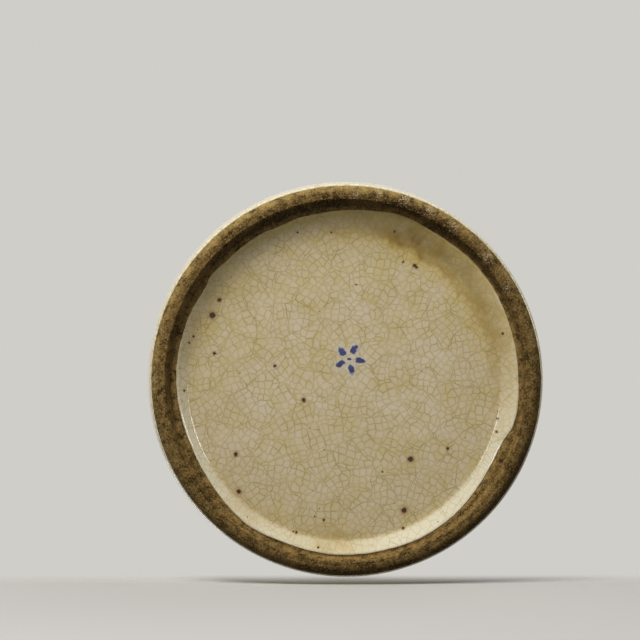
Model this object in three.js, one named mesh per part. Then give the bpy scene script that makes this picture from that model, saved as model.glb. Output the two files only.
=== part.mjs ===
// A straight-sided porcelain jar with a domed lid, built from the sections that a potter throws and
// lutes together with slip. Millimetres, +Z up, origin at the centre of the foot's standing face.

import * as THREE from 'three';

// Overall build-up of the jar: heights of the thrown sections, from the foot upwards
const FOOT_HEIGHT = 7;
const FLOOR_THICKNESS = 7;
const LOWER_BODY_HEIGHT = 86;
const UPPER_BODY_HEIGHT = 86;
const SHOULDER_HEIGHT = 24;
const NECK_HEIGHT = 16;

// Film of slip between two luted sections, and of air between the lid and the mouth rim
const SLIP_FILM = 0.1;
const LID_SEAT_GAP = 0.1;

// Body: largest outside radius, wall, and how far and how suddenly the wall draws in at its two ends
const BODY_RADIUS = 82;
const BODY_WALL = 6;
const FOOT_DRAW_IN = 2.4;
const FOOT_DRAW_IN_POWER = 9;
const SHOULDER_DRAW_IN = 0.8;
const SHOULDER_DRAW_IN_POWER = 4;

// Foot ring: the unglazed band, its worn standing flat, and the recess that it surrounds
const FOOT_TUCK = 3.7; // the ring's outer edge lies this far inside the body's largest radius
const FOOT_BAND_WIDTH = 9.6;
const FOOT_EDGE_HEIGHT = 2.6;
const STANDING_FLAT_WIDTH = 3;
const RECESS_LIP_HEIGHT = 4.5;
const RECESS_LEAN = 6;

// Neck and its unglazed mouth rim
const NECK_RADIUS = 54.5;
const NECK_WALL = 5.5;
const RIM_ROUND = 1.6;

// Lid: brim, dome, the flange that drops into the neck, and the knob
const BRIM_OVERHANG = 5;
const BRIM_THICKNESS = 4;
const BRIM_WIDTH = 8;
const BRIM_RISE = 1.2;
const DOME_HEIGHT = 21;
const LID_WALL = 5;
const FLANGE_DEPTH = 11;
const FLANGE_WALL = 4;
const FLANGE_CLEARANCE = 1.5;
const FLANGE_CHAMFER = 1;
const KNOB_FOOT_RADIUS = 9;
const KNOB_STEM_RADIUS = 6.5;
const KNOB_STEM_HEIGHT = 4;
const KNOB_RADIUS = 13;
const KNOB_BALL_HEIGHT = 16;

// Facets round a turned piece, steps along a rounded stretch of its outline, and how strongly the
// points along the wall crowd towards the foot, where the wall flares
const FACETS = 56;
const ARC_STEPS = 5;
const EDGE_STEPS = 3;
const FLARE_CROWDING = 2;

// Heights of the luted joints
const FLOOR_Z = FOOT_HEIGHT + SLIP_FILM;
const LOWER_Z = FLOOR_Z + FLOOR_THICKNESS + SLIP_FILM;
const UPPER_Z = LOWER_Z + LOWER_BODY_HEIGHT + SLIP_FILM;
const SHOULDER_Z = UPPER_Z + UPPER_BODY_HEIGHT + SLIP_FILM;
const NECK_Z = SHOULDER_Z + SHOULDER_HEIGHT + SLIP_FILM;
const RIM_Z = NECK_Z + NECK_HEIGHT;
const LID_Z = RIM_Z + LID_SEAT_GAP;

// Radii that several sections share
const FOOT_RADIUS = BODY_RADIUS - FOOT_TUCK;
const RECESS_MOUTH_RADIUS = FOOT_RADIUS - FOOT_BAND_WIDTH;
const RECESS_RADIUS = RECESS_MOUTH_RADIUS - RECESS_LEAN;
const STANDING_RADIUS = FOOT_RADIUS - FOOT_BAND_WIDTH / 2;
const NECK_BORE_RADIUS = NECK_RADIUS - NECK_WALL;
const FLANGE_RADIUS = NECK_BORE_RADIUS - FLANGE_CLEARANCE;
const FLANGE_BORE_RADIUS = FLANGE_RADIUS - FLANGE_WALL;
const BRIM_RADIUS = NECK_RADIUS + BRIM_OVERHANG;
const DOME_RADIUS = BRIM_RADIUS - BRIM_WIDTH;
const DOME_BASE = BRIM_THICKNESS + BRIM_RISE;
const DOME_TOP = DOME_BASE + DOME_HEIGHT * Math.sqrt(1 - (KNOB_FOOT_RADIUS / DOME_RADIUS) ** 2);

const crackleGlaze = new THREE.MeshStandardMaterial({ color: 0xcfc2a0, roughness: 0.22, metalness: 0 });
const washedFoot = new THREE.MeshStandardMaterial({ color: 0x6b4f2c, roughness: 0.85, metalness: 0 });
const bareRim = new THREE.MeshStandardMaterial({ color: 0xa98f68, roughness: 0.8, metalness: 0 });

// A point of an outline: distance from the axis, and height.
function at(radius, height) {
  return new THREE.Vector2(radius, height);
}

// Points along a quarter of an ellipse, or any part of it, with angles in turns from straight out.
function arc(centreRadius, centreHeight, acrossRadius, upRadius, fromTurn, toTurn, steps) {
  return Array.from({ length: steps + 1 }, (_, i) => {
    const angle = 2 * Math.PI * (fromTurn + ((toTurn - fromTurn) * i) / steps);
    return at(centreRadius + acrossRadius * Math.cos(angle), centreHeight + upRadius * Math.sin(angle));
  });
}

// The outside radius of the body wall at a height: a quick flare above the foot, then nearly straight,
// with a slight draw-in towards the shoulder.
function wallRadius(z) {
  const up = (z - FOOT_HEIGHT) / (SHOULDER_Z - FOOT_HEIGHT);
  const atFoot = FOOT_DRAW_IN * Math.max(0, 1 - up) ** FOOT_DRAW_IN_POWER;
  const atShoulder = SHOULDER_DRAW_IN * Math.max(0, up) ** SHOULDER_DRAW_IN_POWER;
  return BODY_RADIUS - atFoot - atShoulder;
}

// The body wall's outside from one height to another. Crowding over 1 draws its points downwards.
function wallOutside(fromZ, toZ, steps, crowding = 1) {
  return Array.from({ length: steps + 1 }, (_, i) => {
    const z = fromZ + (toZ - fromZ) * (i / steps) ** crowding;
    return at(wallRadius(z), z);
  });
}

// The same heights on the inside of the wall, from the top downwards.
function wallInside(outside) {
  return outside.map((point) => at(point.x - BODY_WALL, point.y)).reverse();
}

// A closed solid of revolution about Z from an outline in radius and height.
function turned(name, outline, material) {
  const geometry = new THREE.LatheGeometry(outline, FACETS);
  geometry.rotateX(Math.PI / 2);
  const mesh = new THREE.Mesh(geometry, material);
  mesh.name = name;
  return mesh;
}

// An outline that doesn't reach the axis returns to its first point.
function closed(outline) {
  return [...outline, outline[0].clone()];
}

function footRing() {
  const innerFlat = STANDING_RADIUS - STANDING_FLAT_WIDTH / 2;
  const outerFlat = STANDING_RADIUS + STANDING_FLAT_WIDTH / 2;
  const innerRound = innerFlat - RECESS_MOUTH_RADIUS;
  const outerRound = FOOT_RADIUS - outerFlat;
  return turned(
    'foot_ring',
    closed([
      at(RECESS_RADIUS, FOOT_HEIGHT),
      ...arc(innerFlat, RECESS_LIP_HEIGHT, innerRound, RECESS_LIP_HEIGHT, 0.5, 0.75, EDGE_STEPS),
      ...arc(outerFlat, FOOT_EDGE_HEIGHT, outerRound, FOOT_EDGE_HEIGHT, 0.75, 1, EDGE_STEPS),
      at(wallRadius(FOOT_HEIGHT), FOOT_HEIGHT),
    ]),
    washedFoot,
  );
}

function baseFloor() {
  const top = FLOOR_Z + FLOOR_THICKNESS;
  return turned(
    'base_floor',
    [at(0, FLOOR_Z), ...wallOutside(FLOOR_Z, top, EDGE_STEPS), at(0, top)],
    crackleGlaze,
  );
}

function lowerBody() {
  const outside = wallOutside(LOWER_Z, LOWER_Z + LOWER_BODY_HEIGHT, ARC_STEPS, FLARE_CROWDING);
  return turned('lower_body', closed([...outside, ...wallInside(outside)]), crackleGlaze);
}

function upperBody() {
  const outside = wallOutside(UPPER_Z, UPPER_Z + UPPER_BODY_HEIGHT, EDGE_STEPS);
  return turned('upper_body', closed([...outside, ...wallInside(outside)]), crackleGlaze);
}

function shoulder() {
  const foot = wallRadius(SHOULDER_Z);
  const top = SHOULDER_Z + SHOULDER_HEIGHT;
  const insideHeight = SHOULDER_HEIGHT - BODY_WALL;
  const insideWidth = foot - BODY_WALL - NECK_BORE_RADIUS;
  return turned(
    'shoulder',
    closed([
      ...arc(NECK_RADIUS, SHOULDER_Z, foot - NECK_RADIUS, SHOULDER_HEIGHT, 0, 0.25, ARC_STEPS),
      at(NECK_BORE_RADIUS, top),
      ...arc(NECK_BORE_RADIUS, SHOULDER_Z, insideWidth, insideHeight, 0.25, 0, ARC_STEPS),
    ]),
    crackleGlaze,
  );
}

function neck() {
  const round = Math.min(RIM_ROUND, NECK_WALL / 3);
  return turned(
    'neck',
    closed([
      at(NECK_BORE_RADIUS, NECK_Z),
      at(NECK_RADIUS, NECK_Z),
      ...arc(NECK_RADIUS - round, RIM_Z - round, round, round, 0, 0.25, EDGE_STEPS),
      ...arc(NECK_BORE_RADIUS + round, RIM_Z - round, round, round, 0.25, 0.5, EDGE_STEPS),
    ]),
    crackleGlaze,
  );
}

// The lid's pieces take their heights from the plane on which the lid seats.
function lidCover() {
  const edge = BRIM_THICKNESS / 2;
  const domeEnd = Math.asin((DOME_TOP - DOME_BASE) / DOME_HEIGHT) / (2 * Math.PI);
  return turned(
    'lid_cover',
    [
      at(0, DOME_TOP - LID_WALL),
      ...arc(0, 0, FLANGE_BORE_RADIUS, DOME_TOP - LID_WALL, 0.25, 0, ARC_STEPS).slice(1),
      ...arc(BRIM_RADIUS - edge, edge, edge, edge, -0.25, 0.25, 2 * EDGE_STEPS),
      ...arc(0, DOME_BASE, DOME_RADIUS, DOME_HEIGHT, 0, domeEnd, ARC_STEPS),
      at(0, DOME_TOP),
    ],
    crackleGlaze,
  );
}

function lidFlange() {
  return turned(
    'lid_flange',
    closed([
      at(FLANGE_BORE_RADIUS, -FLANGE_DEPTH),
      at(FLANGE_RADIUS - FLANGE_CHAMFER, -FLANGE_DEPTH),
      at(FLANGE_RADIUS, FLANGE_CHAMFER - FLANGE_DEPTH),
      at(FLANGE_RADIUS, -SLIP_FILM),
      at(FLANGE_BORE_RADIUS, -SLIP_FILM),
    ]),
    bareRim,
  );
}

function lidKnob() {
  const foot = DOME_TOP + SLIP_FILM;
  const ballHalf = KNOB_BALL_HEIGHT / 2;
  const ballMiddle = foot + KNOB_STEM_HEIGHT + ballHalf;
  const stemTurn = Math.acos(KNOB_STEM_RADIUS / KNOB_RADIUS) / (2 * Math.PI);
  const ball = arc(0, ballMiddle, KNOB_RADIUS, ballHalf, -stemTurn, 0.25, ARC_STEPS + EDGE_STEPS);
  return turned(
    'lid_knob',
    [
      at(0, foot),
      at(KNOB_FOOT_RADIUS, foot),
      at(KNOB_STEM_RADIUS, foot + KNOB_STEM_HEIGHT / 2),
      ...ball.slice(0, -1),
      at(0, ballMiddle + ballHalf),
    ],
    crackleGlaze,
  );
}

const jar = new THREE.Group();
jar.add(footRing(), baseFloor(), lowerBody(), upperBody(), shoulder(), neck());

const lid = new THREE.Group();
lid.position.z = LID_Z;
lid.add(lidCover(), lidFlange(), lidKnob());

const liddedJar = new THREE.Group();
liddedJar.add(jar, lid);

export default liddedJar;
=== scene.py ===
"""A lidded porcelain jar with a tan-stained crackle glaze and a brown-washed foot ring.

The jar stands upright with the origin under its axis, in metres. The photograph shows it lying on its
side, so its camera looks straight at the underside, along +Z.
"""

import logging
import math
from collections.abc import Callable, Sequence
from dataclasses import dataclass
from enum import Enum
from functools import partial, reduce

import bmesh
import bpy
import numpy as np
from mathutils import Matrix, Vector, noise


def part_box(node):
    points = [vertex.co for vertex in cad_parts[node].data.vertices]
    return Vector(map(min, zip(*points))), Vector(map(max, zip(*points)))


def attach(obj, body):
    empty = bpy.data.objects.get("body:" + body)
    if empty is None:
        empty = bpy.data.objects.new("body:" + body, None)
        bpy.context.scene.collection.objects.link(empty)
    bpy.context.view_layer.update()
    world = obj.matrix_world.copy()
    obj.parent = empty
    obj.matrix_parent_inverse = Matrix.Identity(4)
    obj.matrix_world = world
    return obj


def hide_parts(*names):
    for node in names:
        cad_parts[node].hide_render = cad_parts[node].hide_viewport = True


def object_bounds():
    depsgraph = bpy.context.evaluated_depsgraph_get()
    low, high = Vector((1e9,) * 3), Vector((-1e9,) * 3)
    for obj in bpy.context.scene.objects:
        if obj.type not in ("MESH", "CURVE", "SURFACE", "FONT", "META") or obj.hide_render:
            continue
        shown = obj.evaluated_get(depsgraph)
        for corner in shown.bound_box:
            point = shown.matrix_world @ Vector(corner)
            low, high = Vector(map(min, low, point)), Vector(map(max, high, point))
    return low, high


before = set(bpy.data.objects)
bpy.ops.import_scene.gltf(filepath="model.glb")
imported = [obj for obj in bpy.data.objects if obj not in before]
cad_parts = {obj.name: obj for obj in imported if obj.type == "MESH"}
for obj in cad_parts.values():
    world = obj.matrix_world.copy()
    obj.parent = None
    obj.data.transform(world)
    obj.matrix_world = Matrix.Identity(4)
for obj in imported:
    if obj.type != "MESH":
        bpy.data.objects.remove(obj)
CAD_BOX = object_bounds()

log = logging.getLogger("porcelain_jar")

MM = 0.001
TURN = 2 * math.pi
ASIDE = math.sqrt(0.5)
HALF = (0.5, 0.5, 0.5)
LEVEL = (1, 1, 0)
SOFT = {"interpolation_type": "SMOOTHSTEP"}
NEAR_STOP = "near_glaze_stop"

Adder = Callable[..., bpy.types.Node]
Source = bpy.types.Node | bpy.types.NodeSocket | float | tuple
Object, Material = bpy.types.Object, bpy.types.Material
Point = tuple[float, float]
Place = tuple[float, float, float]


class Body(Enum):
    """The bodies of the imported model, on which pieces ride."""

    JAR = "jar"
    LID = "lid"


class Slot(Enum):
    """The record's material slots."""

    GLAZE = "crackle_glaze"
    FOOT = "washed_foot"
    RIM = "bare_rim"


# Shared tools


def linear(hex_colour: str) -> tuple[float, float, float, float]:
    """Turns an sRGB hex colour, such as "cfc2a0", into linear red, green, blue and alpha."""
    parts = [int(hex_colour[i : i + 2], 16) / 255 for i in (0, 2, 4)]
    return *(c / 12.92 if c <= 0.04045 else ((c + 0.055) / 1.055) ** 2.4 for c in parts), 1.0


def add(tree: bpy.types.NodeTree, kind: str, *values: Source, **named: object) -> bpy.types.Node:
    """Adds a node with its settings, values and links.

    Args:
        tree: The tree that gets the node.
        kind: The node's type, where "ShaderNode" is left out, and after a blank its operation.
        values: What its first sockets get: a value, a socket, or a node whose result is meant.
        named: The same for a socket, under its name with _ for a blank, or a setting, in small letters.

    Returns:
        The new node.
    """
    kind, _, operation = kind.partition(" ")
    made = tree.nodes.new(kind if "Node" in kind else "ShaderNode" + kind)
    given: dict[int | str, Source] = dict(enumerate(values))
    settings = {"operation": operation} if operation else {}
    for name, value in (settings | named).items():
        if name[0].isupper():
            given[name.replace("_", " ")] = value
        else:
            setattr(made, name, value)
    for key, value in given.items():
        socket = made.inputs[key] if isinstance(key, int) else None
        socket = socket or next(s for s in made.inputs if s.enabled and s.name == key)
        if isinstance(value, bpy.types.Node):
            value = next(s for s in value.outputs if s.enabled)
        if isinstance(value, bpy.types.NodeSocket):
            tree.links.new(value, socket)
        else:
            socket.default_value = value
    return made


def new_object(name: str, mesh: bpy.types.Mesh) -> Object:
    """Puts a mesh, which is already in place, into the scene as an object at the origin.

    Args:
        name: The object's name.
        mesh: Its mesh.

    Returns:
        The object.
    """
    made = bpy.data.objects.new(name, mesh)
    bpy.context.scene.collection.objects.link(made)
    return made


def arc(centre: Point, radii: float | Point, start: float, end: float, steps: int) -> np.ndarray:
    """Makes part of an ellipse in an outline.

    Args:
        centre: Its centre, as distance from the axis and height.
        radii: Its radius, or its two radii, across and up.
        start: Its first angle, in degrees from straight out.
        end: Its last angle.
        steps: How many steps it takes.

    Returns:
        Its points, each a distance from the axis and a height.
    """
    angles = np.radians(np.linspace(start, end, steps + 1))
    return np.column_stack((np.cos(angles), np.sin(angles))) * radii + centre


def corner(tip: Point, soft: float, quarter: int, steps: int) -> np.ndarray:
    """Rounds off a corner of an outline.

    Args:
        tip: Where its sharp corner would be, as distance from the axis and height.
        soft: The rounding's radius.
        quarter: Which corner it is, counter-clockwise from 0 at the outer top.
        steps: How many steps it takes.

    Returns:
        Its points.
    """
    outwards = np.sign((math.cos((quarter + 0.5) * TURN / 4), math.sin((quarter + 0.5) * TURN / 4)))
    return arc(tip - outwards * soft, soft, 90 * quarter, 90 * quarter + 90, steps)


def ring(radii: Point, heights: Point, soft: float, steps: int, rounded: tuple[int, ...]) -> np.ndarray:
    """Draws a flat ring, with some of its corners rounded off.

    Args:
        radii: Its inner and outer radius.
        heights: Its lowest and highest height.
        soft: The roundings' radius.
        steps: How many steps each takes.
        rounded: The corners that are rounded, counter-clockwise from 0 at the outer top.

    Returns:
        Its outline.
    """
    (inner, outer), (low, high) = radii, heights
    tips = ((outer, high), (inner, high), (inner, low), (outer, low))
    turns = [corner(tip, soft, at, steps) if at in rounded else [tip] for at, tip in enumerate(tips)]
    return np.concatenate((*turns, turns[0][:1]))


def uneven(points: np.ndarray, *layers: Point) -> np.ndarray:
    """Adds up layers of noise at each point.

    Args:
        points: The points, in rows or in a list.
        layers: The frequency and the strength of each layer.

    Returns:
        The sum at each point.
    """
    places = [Vector(point) for point in points.reshape(-1, 3)]
    layered = [sum(gain * noise.noise(place * often) for often, gain in layers) for place in places]
    return np.array(layered).reshape(points.shape[:-1])


# Where things are


@dataclass(frozen=True)
class Photograph:
    """The photograph's frame: where its camera stands and how its pixels lie on the foot's plane."""

    frame_px: float = 640
    pixel: float = 0.4 * MM
    axis_px: Point = (345.5, 380.2)
    foot_px: Point = (346.2, 380.8)
    distance: float = 1.0
    sensor_mm: float = 36
    right: Place = (-ASIDE, -ASIDE, 0)
    up: Place = (-ASIDE, ASIDE, 0)

    def across(self, right: float, up: float, away: float = 0) -> Vector:
        """Gives a place from its distances to the right, up and away from the camera."""
        return right * Vector(self.right) + up * Vector(self.up) + Vector((0, 0, away))

    def from_axis(self, across_px: float, down_px: float) -> Vector:
        """Gives the way from the jar's axis to a point of the picture, in metres."""
        right, up = across_px - self.axis_px[0], self.axis_px[1] - down_px
        return self.across(right * self.pixel, up * self.pixel)

    def on_foot(self, right_mm: float, up_mm: float) -> Place:
        """Gives a place in millimetres from its distances to the right and up of the foot's centre."""
        return tuple(self.across(right_mm, up_mm) + self.from_axis(*self.foot_px) / MM)

    def side(self, degrees: float) -> Place:
        """Gives the direction at an angle in the photograph, counter-clockwise from the right."""
        return tuple(self.across(math.cos(math.radians(degrees)), math.sin(math.radians(degrees))))

    def add_camera(self) -> None:
        """Sets the camera on a line that is parallel to the jar's axis, as the photograph's is."""
        data = bpy.data.cameras.new("camera")
        data.sensor_width = self.sensor_mm
        data.lens = self.sensor_mm * self.distance / (self.frame_px * self.pixel)
        camera = bpy.data.objects.new("camera", data)
        axes = Matrix((self.right, self.up, (0, 0, -1))).transposed().to_4x4()
        middle = self.from_axis(self.frame_px / 2, self.frame_px / 2)
        camera.matrix_world = Matrix.Translation(middle - Vector((0, 0, self.distance))) @ axes
        bpy.context.scene.collection.objects.link(camera)
        bpy.context.scene.camera = camera


class Levels:
    """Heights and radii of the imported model, in metres, which every piece here takes its place from."""

    def __init__(self) -> None:
        """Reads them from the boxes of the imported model's nodes."""
        low, high = ({name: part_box(name)[end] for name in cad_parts} for end in (0, 1))
        self.foot_top: float = high["foot_ring"].z
        self.floor_top: float = high["base_floor"].z
        self.middle: float = (high["lower_body"].z + low["upper_body"].z) / 2
        self.shoulder: float = (high["upper_body"].z + low["shoulder"].z) / 2
        self.neck: float = (high["shoulder"].z + low["neck"].z) / 2
        self.rim: float = high["neck"].z
        self.flange_bottom: float = low["lid_flange"].z
        self.seat: float = low["lid_cover"].z
        self.knob: float = (high["lid_cover"].z + low["lid_knob"].z) / 2
        self.top: float = high["lid_knob"].z
        self.body_radius: float = CAD_BOX[1].x
        self.neck_radius: float = high["neck"].x
        self.flange_radius: float = high["lid_flange"].x
        self.brim_radius: float = high["lid_cover"].x
        self.knob_radius: float = high["lid_knob"].x


PHOTO = Photograph()
LEVELS = Levels()


@dataclass(frozen=True)
class Dressing:
    """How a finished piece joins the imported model."""

    piece: Object
    body: Body
    slot: Slot
    stands_for: str = ""

    def join(self) -> None:
        """Makes the piece ride on its body and stand for its node."""
        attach(self.piece, self.body.value)
        if self.stands_for:
            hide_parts(self.stands_for)
        log.info("%s: %d faces on %s", self.piece.name, len(self.piece.data.polygons), self.body.value)


# Making meshes


def finish_mesh(mesh: bpy.types.Mesh, material: Material) -> None:
    """Welds a mesh's seams and poles, points its faces outwards, and gives it its material.

    Args:
        mesh: A mesh that closes once its doubles are merged.
        material: The one finish that it gets.
    """
    work = bmesh.new()
    work.from_mesh(mesh)
    bmesh.ops.remove_doubles(work, verts=work.verts, dist=0.002 * MM)
    bmesh.ops.recalc_face_normals(work, faces=work.faces)
    work.to_mesh(mesh)
    work.free()
    mesh.materials.clear()
    mesh.materials.append(material)
    mesh.polygons.foreach_set("use_smooth", [True] * len(mesh.polygons))
    mesh.set_sharp_from_angle(angle=math.radians(55))
    mesh.update()


def loft(name: str, rows: np.ndarray, material: Material, joined: bool, near: np.ndarray) -> Object:
    """Skins rings of points that all go round the axis.

    Args:
        name: The piece's name.
        rows: Points by row and by place round the ring, in metres.
        material: The piece's finish.
        joined: Whether the last row meets the first, as on a ring that doesn't reach the axis.
        near: How near each point of the first rows lies to the glaze's stop, from 0 to 1. It is kept as
            an attribute that the finish reads.

    Returns:
        The closed piece.
    """
    count, round_count = rows.shape[:2]
    index = np.arange(count * round_count).reshape(count, round_count)
    index = np.vstack((index, index[:1])) if joined else index
    beside = np.roll(index, -1, axis=1)
    quads = np.stack((index[:-1], beside[:-1], beside[1:], index[1:]), axis=-1).reshape(-1, 4)
    mesh = bpy.data.meshes.new(name)
    mesh.from_pydata(rows.reshape(-1, 3).tolist(), [], quads.tolist())
    everywhere = np.pad(near, ((0, count - len(near)), (0, 0)))
    mesh.attributes.new(NEAR_STOP, "FLOAT", "POINT").data.foreach_set("value", everywhere.ravel())
    finish_mesh(mesh, material)
    return new_object(name, mesh)


class PottersWheel:
    """Turns an outline into a piece, a little out of round and with the spiral of the potter's fingers.

    The outline's points stay as they are drawn and become rings. A vessel off the wheel is never quite
    round, so each ring gives way inwards, by a slow wave and by a spiral that climbs the wall.
    """

    # The tree's inputs: the kind of each, and its value where a piece doesn't give its own
    inputs: dict[str, tuple[str, object]] = {
        "Outline": ("Geometry", None),
        "Facets": ("Int", 240),
        "Finish": ("Material", None),
        # How far the slow wave reaches inwards, and how long it is
        "Out Of Round": ("Float", 0.25 * MM),
        "Wave Length": ("Float", 60 * MM),
        # How deep the spiral of the fingers is, and how far it climbs in a turn
        "Finger Depth": ("Float", 0.0),
        "Finger Pitch": ("Float", 11 * MM),
        # Where the foot lies, as seen from the axis, and how far up the wall follows it
        "Foot Offset": ("Vector", (0.0, 0.0, 0.0)),
        "Foot Reach": ("Float", 14 * MM),
    }
    round_within: float = 12 * MM

    def __init__(self) -> None:
        """Builds the one tree that all the turned pieces share."""
        self.tree = bpy.data.node_groups.new("potters_wheel", "GeometryNodeTree")
        self.sockets: dict[str, str] = {}
        for name, (kind, _) in self.inputs.items():
            socket = self.tree.interface.new_socket(name, in_out="INPUT", socket_type="NodeSocket" + kind)
            self.sockets[name] = socket.identifier
        self.tree.interface.new_socket("Piece", in_out="OUTPUT", socket_type="NodeSocketGeometry")
        self._link(partial(add, self.tree))

    def _link(self, node: Adder) -> None:
        """Adds the tree's nodes: a grid of rings, each placed from its point of the outline.

        Args:
            node: What adds a node to the tree.
        """
        given = node("NodeGroupInput").outputs
        outline, facets = given["Outline"], given["Facets"]
        rings = node("GeometryNodeAttributeDomainSize", outline, component="MESH").outputs["Point Count"]
        columns = node("Math ADD", facets, 1.0)
        grid = node("GeometryNodeMeshGrid", Vertices_X=rings, Vertices_Y=columns).outputs["Mesh"]
        index, position = node("GeometryNodeInputIndex"), node("GeometryNodeInputPosition")
        row = node("Math FLOOR", node("Math DIVIDE", index, columns))
        turned = node("Math DIVIDE", node("Math MODULO", index, columns), facets)
        angle = node("Math MULTIPLY", turned, TURN)
        sampled = {"Geometry": outline, "Value": position, "Index": row}
        drawn = node("GeometryNodeSampleIndex", data_type="FLOAT_VECTOR", **sampled)
        point = node("SeparateXYZ", drawn).outputs
        way = node("CombineXYZ", node("Math COSINE", angle), node("Math SINE", angle))
        rise = node("CombineXYZ", Z=point["Z"])
        place = node("VectorMath ADD", node("VectorMath SCALE", way, Scale=LEVELS.body_radius), rise)
        often = node("Math DIVIDE", 1.0, given["Wave Length"])
        wave = node("TexNoise", Vector=place, Scale=often, Detail=1.0)
        slack = node("Math MULTIPLY", wave, given["Out Of Round"])
        climbs = node("Math DIVIDE", point["Z"], given["Finger Pitch"])
        phase = node("Math MULTIPLY_ADD", climbs, TURN, angle)
        groove = node("Math MULTIPLY_ADD", node("Math SINE", phase), 0.5, 0.5)
        fingers = node("Math MULTIPLY_ADD", groove, given["Finger Depth"], slack)
        inwards = node("Math MULTIPLY", fingers, node("MapRange", point["X"], 0.0, self.round_within))
        radius = node("Math SUBTRACT", point["X"], inwards)
        lifted = node("VectorMath ADD", node("VectorMath SCALE", way, Scale=radius), rise)
        high = node("Math DIVIDE", point["Z"], given["Foot Reach"])
        at_foot = node("Math SUBTRACT", 1.0, high, use_clamp=True)
        shift = node("VectorMath SCALE", given["Foot Offset"], Scale=at_foot)
        placed = node("GeometryNodeSetPosition", grid, Position=node("VectorMath ADD", lifted, shift))
        real = node("GeometryNodeRealizeInstances", placed)
        node("NodeGroupOutput", node("GeometryNodeSetMaterial", real, Material=given["Finish"]))

    def turn(self, name: str, outline: np.ndarray, material: Material, **sizes: object) -> Object:
        """Turns one piece.

        Args:
            name: The piece's name.
            outline: Its points, each a distance from the axis and a height, in metres. It starts and ends
                on the axis, or ends where it starts.
            material: Its finish.
            sizes: The piece's own values for the tree's inputs, by name with _ for a blank.

        Returns:
            The piece as a plain mesh.
        """
        drawing = bpy.data.meshes.new(name)
        points = [(float(radius), 0.0, float(height)) for radius, height in outline]
        drawing.from_pydata(points, [(i, i + 1) for i in range(len(points) - 1)], [])
        holder = new_object("drawing_of_" + name, drawing)
        wheel = holder.modifiers.new("potters_wheel", "NODES")
        wheel.node_group = self.tree
        values = {name: value for name, (_, value) in self.inputs.items()} | {"Finish": material}
        values |= {name.replace("_", " "): value for name, value in sizes.items()}
        for key, value in values.items():
            if value is not None:
                wheel[self.sockets[key]] = value
        graph = bpy.context.evaluated_depsgraph_get()
        mesh = bpy.data.meshes.new_from_object(holder.evaluated_get(graph))
        bpy.data.objects.remove(holder)
        bpy.data.meshes.remove(drawing)
        finish_mesh(mesh, material)
        mesh.name = name
        return new_object(name, mesh)


# The trimmed foot


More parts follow.
